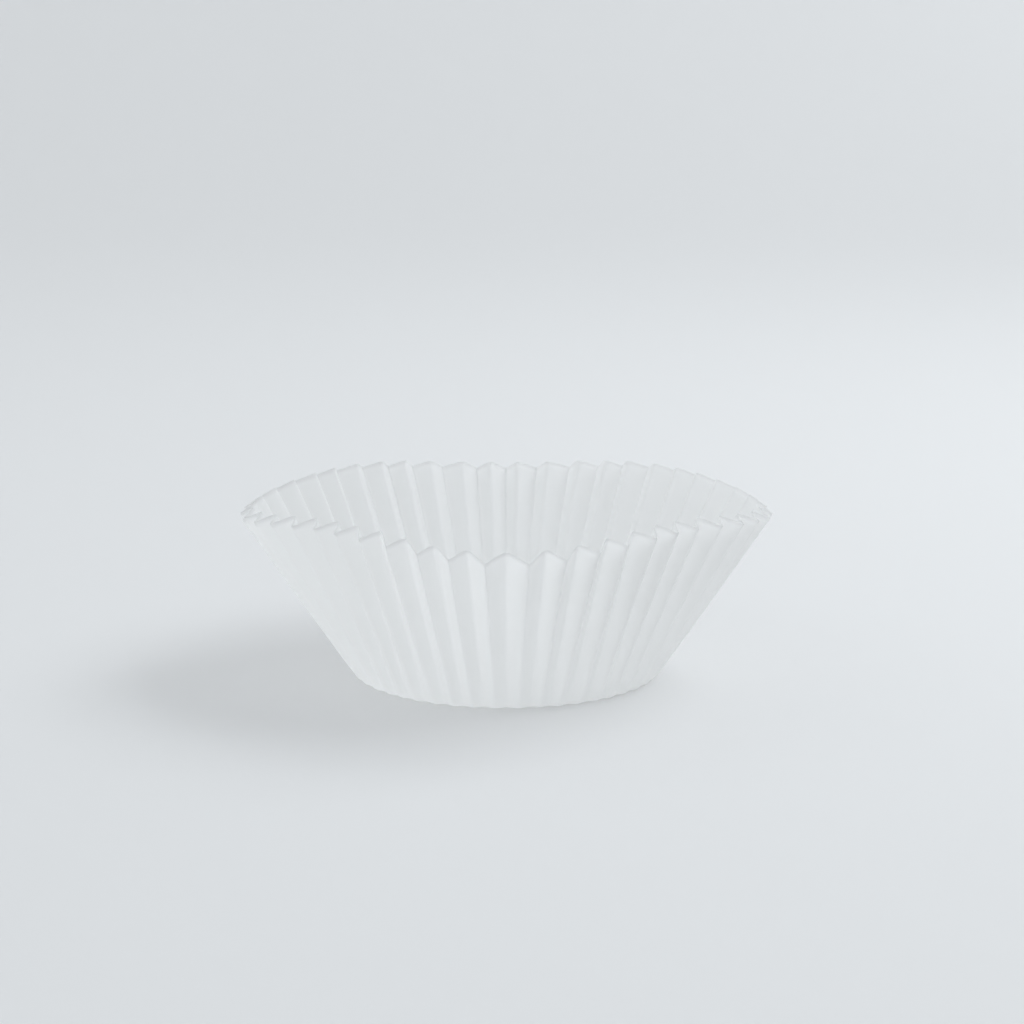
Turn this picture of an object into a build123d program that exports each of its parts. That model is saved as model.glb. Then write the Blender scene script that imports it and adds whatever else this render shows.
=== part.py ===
from build123d import *
from math import cos, pi, radians, sin, sqrt
import os

# A fluted baking cup: one round sheet of greaseproof paper, crimped into pleats round its
# wall. The cup opens along +Z and the underside of its flat base lies on Z = 0.

# Driving sizes, in millimetres and degrees.
sheet_diameter = 114.3      # the flat round sheet before it is pressed
sheet_thickness = 0.06
base_diameter = 48.0        # flat part of the base, up to where the bend begins
bend_radius = 1.6           # bend between base and wall, at the middle of the paper
wall_flare = 29.0           # mean lean of the wall, outward from vertical
cross_flare = 4.0           # extra lean at front, back and sides; the wall is as much steeper between
back_flare = 2.0            # extra lean at the back, and as much less at the front
pleat_count = 47            # whole pleats round the wall
first_fold = 4.0            # angle of the first outer fold, from the front, -Y, towards +X
rim_fold_reach = 0.24       # softness of the folds at the rim: 1/3 is a round wave, 0 a sharp crease

# The pleats aren't evenly wide. Each entry is the number of waves round the cup, and how far
# they shift a fold, as a share of one pleat.
pitch_waves = ((5, 0.08), (13, 0.05))

base_radius = base_diameter / 2
paper_rise = sheet_diameter / 2 - base_radius       # paper from the flat base up to the rim
fold_count = 2 * pleat_count                        # outer and inner folds take turns
base_fold_reach = 1 / 3                             # the folds start as parts of a true circle
OUTSIDE, INSIDE = 1, -1


def fold_angle(fold):
    """Angle of a fold line round the cup, from the front towards the right."""
    even = radians(first_fold) + 2 * pi * fold / fold_count
    shift = sum(share * sin(waves * even) for waves, share in pitch_waves)
    return even + shift * 2 * pi / pleat_count


def flare_at(angle):
    """Lean of the wall, with the angle counted from the front towards +X."""
    return radians(wall_flare + cross_flare * cos(4 * angle) - back_flare * cos(angle))


def bend_length(angle):
    """Paper used by the bend between base and wall."""
    return bend_radius * (pi / 2 - flare_at(angle))


def profile(angle, run):
    """Radius, height and slope of the cup without pleats, after a run of paper from the base."""
    in_bend = min(run, bend_length(angle))
    slope = in_bend / bend_radius
    straight = run - in_bend
    radius = base_radius + bend_radius * sin(slope) + straight * cos(slope)
    height = bend_radius * (1 - cos(slope)) + straight * sin(slope)
    return radius, height, slope


def gathering(angle, run):
    """How many times longer the paper is than the circle that it has to fit."""
    return (base_radius + run) / profile(angle, run)[0]


def pleat_depth(angle, run):
    """Depth of the pleats, peak to peak, that takes up all of the spare paper."""
    half_pitch = pi * profile(angle, run)[0] / pleat_count
    return half_pitch * sqrt(max(gathering(angle, run) ** 2 - 1, 0))


def fold_point(fold, run, skin):
    """A point on a fold line, on the outside or the inside skin of the paper."""
    angle = fold_angle(fold)
    radius, height, slope = profile(angle, run)
    direction = 1 if fold % 2 == 0 else -1
    lift = direction * pleat_depth(angle, run) / 2
    lift += skin * sheet_thickness / 2 * gathering(angle, run)
    radius += lift * sin(slope)
    height += sheet_thickness / 2 - lift * cos(slope)
    return Vector(radius * sin(angle), -radius * cos(angle), height)


def fold_handle(fold, run):
    """Handle of the curve across the pleats, square to the fold line."""
    angle = fold_angle(fold)
    reach = base_fold_reach + (rim_fold_reach - base_fold_reach) * run / paper_rise
    length = reach * pi * profile(angle, run)[0] / pleat_count
    return Vector(cos(angle), sin(angle), 0) * length


def spans(fold):
    """The two stretches of a fold line, as runs of paper: the bend and the straight wall."""
    end_of_bend = bend_length(fold_angle(fold))
    return (0, end_of_bend), (end_of_bend, paper_rise)


def cubic(curve, start, end):
    """Control points of the cubic that meets a curve, and its direction, at both ends."""
    step = (end - start) * 1e-4
    first, last = curve(start), curve(end)
    leaving = (curve(start + step) - first) / step
    arriving = (last - curve(end - step)) / step
    third = (end - start) / 3
    return [first, first + leaving * third, last - arriving * third, last]


def half_pleat(fold, skin, span):
    """Control points of the paper between a fold line and the next one."""
    def column(line, side):
        start, end = spans(line)[span]
        return cubic(lambda run: fold_point(line, run, skin) + fold_handle(line, run) * side, start, end)

    following = fold + 1
    return [column(fold, 0), column(fold, 1), column(following, -1), column(following, 0)]


def base_disc(grids):
    """The flat disc inside the lowest edges of one skin."""
    edges = [Edge.make_bezier(*(column[0] for column in grid)) for grid in grids]
    return Face(Wire(edges))


def make_liner():
    faces = []
    top_edges = {}
    for skin in (OUTSIDE, INSIDE):
        bends = [half_pleat(fold, skin, 0) for fold in range(fold_count)]
        walls = [half_pleat(fold, skin, 1) for fold in range(fold_count)]
        faces += [Face.make_bezier_surface(grid) for grid in bends + walls]
        faces.append(base_disc(bends))
        top_edges[skin] = [[column[3] for column in grid] for grid in walls]
    rim = zip(top_edges[OUTSIDE], top_edges[INSIDE])
    faces += [Face.make_bezier_surface([outside, inside]) for outside, inside in rim]
    return Solid(Shell(faces))


liner = make_liner()
os.makedirs("parts", exist_ok=True)
export_step(liner, "parts/liner.step")
print("volume", round(liner.volume, 2), "mm3, box", liner.bounding_box().size)
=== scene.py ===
import bpy
import numpy as np
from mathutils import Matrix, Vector


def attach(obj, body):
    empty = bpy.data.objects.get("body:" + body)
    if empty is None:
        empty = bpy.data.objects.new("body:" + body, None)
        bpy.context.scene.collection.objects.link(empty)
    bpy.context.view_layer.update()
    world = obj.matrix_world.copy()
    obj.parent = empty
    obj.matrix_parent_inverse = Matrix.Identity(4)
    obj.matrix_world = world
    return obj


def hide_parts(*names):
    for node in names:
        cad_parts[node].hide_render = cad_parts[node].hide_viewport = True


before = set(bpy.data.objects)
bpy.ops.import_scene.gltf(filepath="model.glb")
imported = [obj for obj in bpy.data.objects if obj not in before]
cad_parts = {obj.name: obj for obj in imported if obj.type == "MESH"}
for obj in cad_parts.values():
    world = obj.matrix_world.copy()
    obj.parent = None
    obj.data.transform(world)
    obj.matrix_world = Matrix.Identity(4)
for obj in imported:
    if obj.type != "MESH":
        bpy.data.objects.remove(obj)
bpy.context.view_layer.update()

# The paper, in metres and degrees: a round sheet, crimped into pleats round its wall.
sheet_diameter = 0.1143
sheet_thickness = 0.00006
base_diameter = 0.048
bend_radius = 0.0016
wall_flare = 29.0
cross_flare = 4.0              # extra lean at front, back and sides; as much steeper between
back_flare = 2.0               # extra lean at the back, and as much less at the front
pleat_count = 47
first_fold = 4.0
pitch_waves = ((5, 0.08), (13, 0.05))

# How the pleats look close up: the folds that point outward are crisp, the inner ones soft.
outer_fold_reach = 0.10
inner_fold_reach = 0.27
base_fold_reach = 1 / 3
crimp_depth = 0.00012          # the press leaves faint ridges in the edge of the base
crimp_length = 0.0045
depth_unevenness = 0.05        # from pleat to pleat, as a share
side_unevenness = 0.05         # how far a fold wanders at the rim, as a share of a pleat
wander_growth = 1.5            # above 1, a fold wanders mostly near the rim
crease_growth = 0.6            # below 1, the folds take their form mostly near the base

# How finely the paper is divided.
columns_per_half = 8
base_rows = (-24, -20, -14, -8, -4.5, -3.6, -2.7, -1.8, -0.9)      # millimetres before the bend
bend_rows = 6
wall_rows = 28

base_radius = base_diameter / 2
paper_rise = sheet_diameter / 2 - base_radius
fold_count = 2 * pleat_count
folds = np.arange(fold_count)
is_outer = folds % 2 == 0
rng = np.random.default_rng(4)


def fold_angles():
    even = np.radians(first_fold) + 2 * np.pi * folds / fold_count
    shift = sum(share * np.sin(n * even) for n, share in pitch_waves)
    return even + shift * 2 * np.pi / pleat_count


def smooth(x):
    """0 to 1, with a soft start and end."""
    x = np.clip(x, 0, 1)
    return x * x * (3 - 2 * x)


def fold_lines():
    """Points on every fold line from the base to the rim, and the handles across the pleats."""
    angle = fold_angles()
    flare = np.radians(wall_flare + cross_flare * np.cos(4 * angle) - back_flare * np.cos(angle))
    bend_length = bend_radius * (np.pi / 2 - flare)
    base = np.array(base_rows)[:, None] / 1000 + 0 * angle
    bend = np.linspace(0, 1, bend_rows, endpoint=False)[:, None] * bend_length
    wall = bend_length + np.linspace(0, 1, wall_rows)[:, None] * (paper_rise - bend_length)
    run = np.vstack([base, bend, wall])

    in_bend = np.clip(run, 0, bend_length)
    slope = in_bend / bend_radius
    straight = np.maximum(run - bend_length, 0)
    radius = base_radius + np.minimum(run, 0)
    radius = radius + bend_radius * np.sin(slope) + straight * np.cos(slope)
    height = bend_radius * (1 - np.cos(slope)) + straight * np.sin(slope)

    gathering = (base_radius + run) / np.maximum(radius, 1e-6)
    half_pitch = np.pi * radius / pleat_count
    depth = half_pitch * np.sqrt(np.maximum(gathering ** 2 - 1, 0))
    depth = depth * (1 + depth_unevenness * rng.uniform(-1, 1, fold_count))
    crimp = crimp_depth * smooth(1 + run / crimp_length) * (1 - smooth(run / crimp_length))
    lift = np.where(is_outer, depth / 2, -depth / 2 - crimp)
    radius = radius + lift * np.sin(slope)
    height = height + sheet_thickness / 2 - lift * np.cos(slope)

    share = np.clip(run / paper_rise, 0, 1)
    wander = side_unevenness * rng.uniform(-1, 1, fold_count) * 2 * np.pi / pleat_count
    angle = angle + wander * share ** wander_growth
    points = np.stack([radius * np.sin(angle), -radius * np.cos(angle), height], -1)
    rim_reach = np.where(is_outer, outer_fold_reach, inner_fold_reach)
    reach = base_fold_reach + (rim_reach - base_fold_reach) * share ** crease_growth
    length = reach * half_pitch
    handles = np.stack([length * np.cos(angle), length * np.sin(angle), 0 * length], -1)
    return points, handles


def paper_middle():
    """A grid of points on the middle of the paper, rows from the base up and columns all round."""
    points, handles = fold_lines()
    following = np.roll(points, -1, axis=1)
    turn = 0.5 - 0.5 * np.cos(np.pi * np.arange(columns_per_half) / columns_per_half)
    t = (0.5 * turn + 0.5 * np.arange(columns_per_half) / columns_per_half)[None, None, :, None]
    p0, p1 = points[:, :, None], (points + handles)[:, :, None]
    p2, p3 = (following - np.roll(handles, -1, axis=1))[:, :, None], following[:, :, None]
    grid = (1 - t) ** 3 * p0 + 3 * t * (1 - t) ** 2 * p1 + 3 * t ** 2 * (1 - t) * p2 + t ** 3 * p3
    return grid.reshape(len(points), -1, 3)


def grid_normals(grid):
    """Unit normals of the grid, pointing out of the cup and down."""
    along = np.gradient(grid, axis=0)
    around = np.roll(grid, -1, axis=1) - np.roll(grid, 1, axis=1)
    normal = np.cross(around, along)
    return normal / np.maximum(np.linalg.norm(normal, axis=2, keepdims=True), 1e-12)


def make_paper(name):
    """The paper as a closed sheet with its real thickness."""
    grid = paper_middle()
    normal = grid_normals(grid)
    normal[0] = (0, 0, -1)
    rows, columns, _ = grid.shape
    outside = grid + normal * sheet_thickness / 2
    inside = grid - normal * sheet_thickness / 2
    points = np.vstack([outside[1:].reshape(-1, 3), inside[1:].reshape(-1, 3)])
    rows -= 1
    skin = rows * columns
    points = np.vstack([points, [(0, 0, 0), (0, 0, sheet_thickness)]])
    index = np.arange(skin).reshape(rows, columns)
    right = np.roll(index, -1, axis=1)
    quads = np.stack([index[:-1], right[:-1], right[1:], index[1:]], -1).reshape(-1, 4)
    rim = np.stack([index[-1], right[-1], right[-1] + skin, index[-1] + skin], -1)
    fan = np.stack([index[0], right[0], np.full(columns, 2 * skin)], -1)
    faces = quads.tolist() + (quads[:, ::-1] + skin).tolist() + rim.tolist()
    faces += fan[:, ::-1].tolist()
    fan_inside = np.stack([index[0] + skin, right[0] + skin, np.full(columns, 2 * skin + 1)], -1)
    faces += fan_inside.tolist()
    mesh = bpy.data.meshes.new(name)
    mesh.from_pydata(points.tolist(), [], faces)
    smooth_faces = np.ones(len(faces), bool)
    first_rim = 2 * len(quads)
    smooth_faces[first_rim:first_rim + columns] = False
    mesh.polygons.foreach_set("use_smooth", smooth_faces)
    mesh.validate()
    mesh.update()
    piece = bpy.data.objects.new(name, mesh)
    bpy.context.scene.collection.objects.link(piece)
    return piece


def new_material(name):
    material = bpy.data.materials.new(name)
    material.use_nodes = True
    material.node_tree.nodes.clear()
    return material, material.node_tree.nodes, material.node_tree.links


cloud_scale = 350              # soft mottling, a few millimetres across
fibre_scale = 2600             # the fine grain of the fibres
fibre_height = 0.00005
share_let_through = 0.66       # of the light that meets one skin of the paper


def paper_material():
    """Greaseproof paper: white, matt, and letting about half of the light through."""
    material, nodes, links = new_material("greaseproof_paper")
    place = nodes.new("ShaderNodeTexCoord")

    def noise(scale, detail):
        node = nodes.new("ShaderNodeTexNoise")
        node.inputs["Scale"].default_value = scale
        node.inputs["Detail"].default_value = detail
        links.new(place.outputs["Object"], node.inputs["Vector"])
        return node.outputs["Fac"]

    def ramp(value, dark, light):
        node = nodes.new("ShaderNodeValToRGB")
        node.color_ramp.elements[0].position = 0.3
        node.color_ramp.elements[0].color = (*dark, 1)
        node.color_ramp.elements[1].position = 0.7
        node.color_ramp.elements[1].color = (*light, 1)
        links.new(value, node.inputs["Fac"])
        return node.outputs["Color"]

    clouds = noise(cloud_scale, 4)
    fibres = noise(fibre_scale, 3)
    surface = nodes.new("ShaderNodeBsdfPrincipled")
    surface.inputs["Roughness"].default_value = 0.55
    surface.inputs["Specular IOR Level"].default_value = 0.35
    links.new(ramp(clouds, (0.95, 0.95, 0.95), (0.985, 0.985, 0.985)), surface.inputs["Base Color"])
    through = nodes.new("ShaderNodeBsdfTranslucent")
    links.new(ramp(clouds, (0.99, 0.99, 0.985), (0.965, 0.965, 0.96)), through.inputs["Color"])
    bump = nodes.new("ShaderNodeBump")
    bump.inputs["Strength"].default_value = 0.15
    bump.inputs["Distance"].default_value = fibre_height
    links.new(fibres, bump.inputs["Height"])
    links.new(bump.outputs["Normal"], surface.inputs["Normal"])
    links.new(bump.outputs["Normal"], through.inputs["Normal"])
    mix = nodes.new("ShaderNodeMixShader")
    mix.inputs["Fac"].default_value = share_let_through
    links.new(surface.outputs["BSDF"], mix.inputs[1])
    links.new(through.outputs["BSDF"], mix.inputs[2])
    output = nodes.new("ShaderNodeOutputMaterial")
    links.new(mix.outputs["Shader"], output.inputs["Surface"])
    return material


floor_colour = (0.81, 0.81, 0.81, 1)


def sweep_material():
    """The pale matt floor."""
    material, nodes, links = new_material("pale_floor")
    surface = nodes.new("ShaderNodeBsdfPrincipled")
    surface.inputs["Base Color"].default_value = floor_colour
    surface.inputs["Roughness"].default_value = 0.9
    surface.inputs["Specular IOR Level"].default_value = 0.1
    output = nodes.new("ShaderNodeOutputMaterial")
    links.new(surface.outputs["BSDF"], output.inputs["Surface"])
    return material


def make_sweep(name):
    """A round floor that curves up all round into a low wall, so that it shows no edge."""
    flat_radius, curve_radius, wall_height = 0.8, 1.6, 0.05
    clearance = 0.00005         # the floor lies just under the paper, so the two never coincide
    segments, steps = 96, 32
    turn = np.linspace(0, np.pi / 2, steps)
    radii = [*np.linspace(0.3, flat_radius, 5)[:-1], *(flat_radius + curve_radius * np.sin(turn))]
    heights = [0, 0, 0, 0, *(curve_radius * (1 - np.cos(turn)))]
    radii.append(flat_radius + curve_radius)
    heights.append(wall_height)
    angle = 2 * np.pi * np.arange(segments) / segments
    points = [(0, 0, -clearance)]
    for radius, height in zip(radii, heights):
        points += [(radius * np.cos(a), radius * np.sin(a), height - clearance) for a in angle]
    index = 1 + np.arange(len(radii) * segments).reshape(len(radii), segments)
    right = np.roll(index, -1, axis=1)
    faces = [[0, a, b] for a, b in zip(index[0].tolist(), right[0].tolist())]
    faces += np.stack([index[:-1], index[1:], right[1:], right[:-1]], -1).reshape(-1, 4).tolist()
    mesh = bpy.data.meshes.new(name)
    mesh.from_pydata(points, [], faces)
    mesh.polygons.foreach_set("use_smooth", [True] * len(faces))
    mesh.update()
    sweep = bpy.data.objects.new(name, mesh)
    bpy.context.scene.collection.objects.link(sweep)
    return sweep


def aim(thing, place, target):
    thing.location = place
    thing.rotation_euler = (Vector(target) - Vector(place)).to_track_quat("-Z", "Y").to_euler()


camera_place = (0, -0.4266, 0.1109)
camera_target = (0.00095, 0, 0.0266)
camera_lens = 93.3


def make_camera():
    camera = bpy.data.cameras.new("camera")
    camera.sensor_width = 36
    camera.lens = camera_lens
    camera.clip_start = 0.01
    camera.clip_end = 20
    thing = bpy.data.objects.new("camera", camera)
    bpy.context.scene.collection.objects.link(thing)
    aim(thing, camera_place, camera_target)
    bpy.context.scene.camera = thing


def make_area_light(name, place, target, size, power, colour):
    light = bpy.data.lights.new(name, "AREA")
    light.shape = "RECTANGLE"
    light.size, light.size_y = size
    light.energy = power
    light.color = colour
    thing = bpy.data.objects.new(name, light)
    bpy.context.scene.collection.objects.link(thing)
    aim(thing, place, target)


cool_white = (0.931, 0.969, 1.0)
cup_middle = (0, 0, 0.015)
horizon_strength = 1.5         # a pale room all round, darker overhead
zenith_strength = 0.60
key_place = (0.40, 0.13, 0.50)  # high on the right, a little behind, and fairly near
key_size = (0.6, 0.3)
key_power = 1.3
back_place = (1.1, 1.0, 0.9)  # lights the sweep behind, more on the right
back_target = (0.5, 2.0, 0.1)
back_size = (0.6, 0.6)
back_power = 4.4


def make_light():
    world = bpy.data.worlds.new("studio")
    world.use_nodes = True
    sky = world.node_tree.nodes["Background"]
    sky.inputs["Color"].default_value = (*cool_white, 1)
    links = world.node_tree.links
    direction = world.node_tree.nodes.new("ShaderNodeTexCoord")
    split = world.node_tree.nodes.new("ShaderNodeSeparateXYZ")
    links.new(direction.outputs["Generated"], split.inputs["Vector"])
    rise = world.node_tree.nodes.new("ShaderNodeMapRange")
    rise.inputs["To Min"].default_value = horizon_strength
    rise.inputs["To Max"].default_value = zenith_strength
    links.new(split.outputs["Z"], rise.inputs["Value"])
    links.new(rise.outputs["Result"], sky.inputs["Strength"])
    bpy.context.scene.world = world
    make_area_light("key", key_place, cup_middle, key_size, key_power, cool_white)
    make_area_light("back", back_place, back_target, back_size, back_power, cool_white)
    bpy.context.scene.view_settings.view_transform = "Standard"
    cycles = bpy.context.scene.cycles
    cycles.max_bounces = 20
    cycles.diffuse_bounces = 10
    cycles.transmission_bounces = 20


make_camera()
make_light()
floor = make_sweep("floor")
floor.data.materials.append(sweep_material())

liner = make_paper("liner_paper")
liner.data.materials.append(paper_material())
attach(liner, "root")
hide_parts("liner")
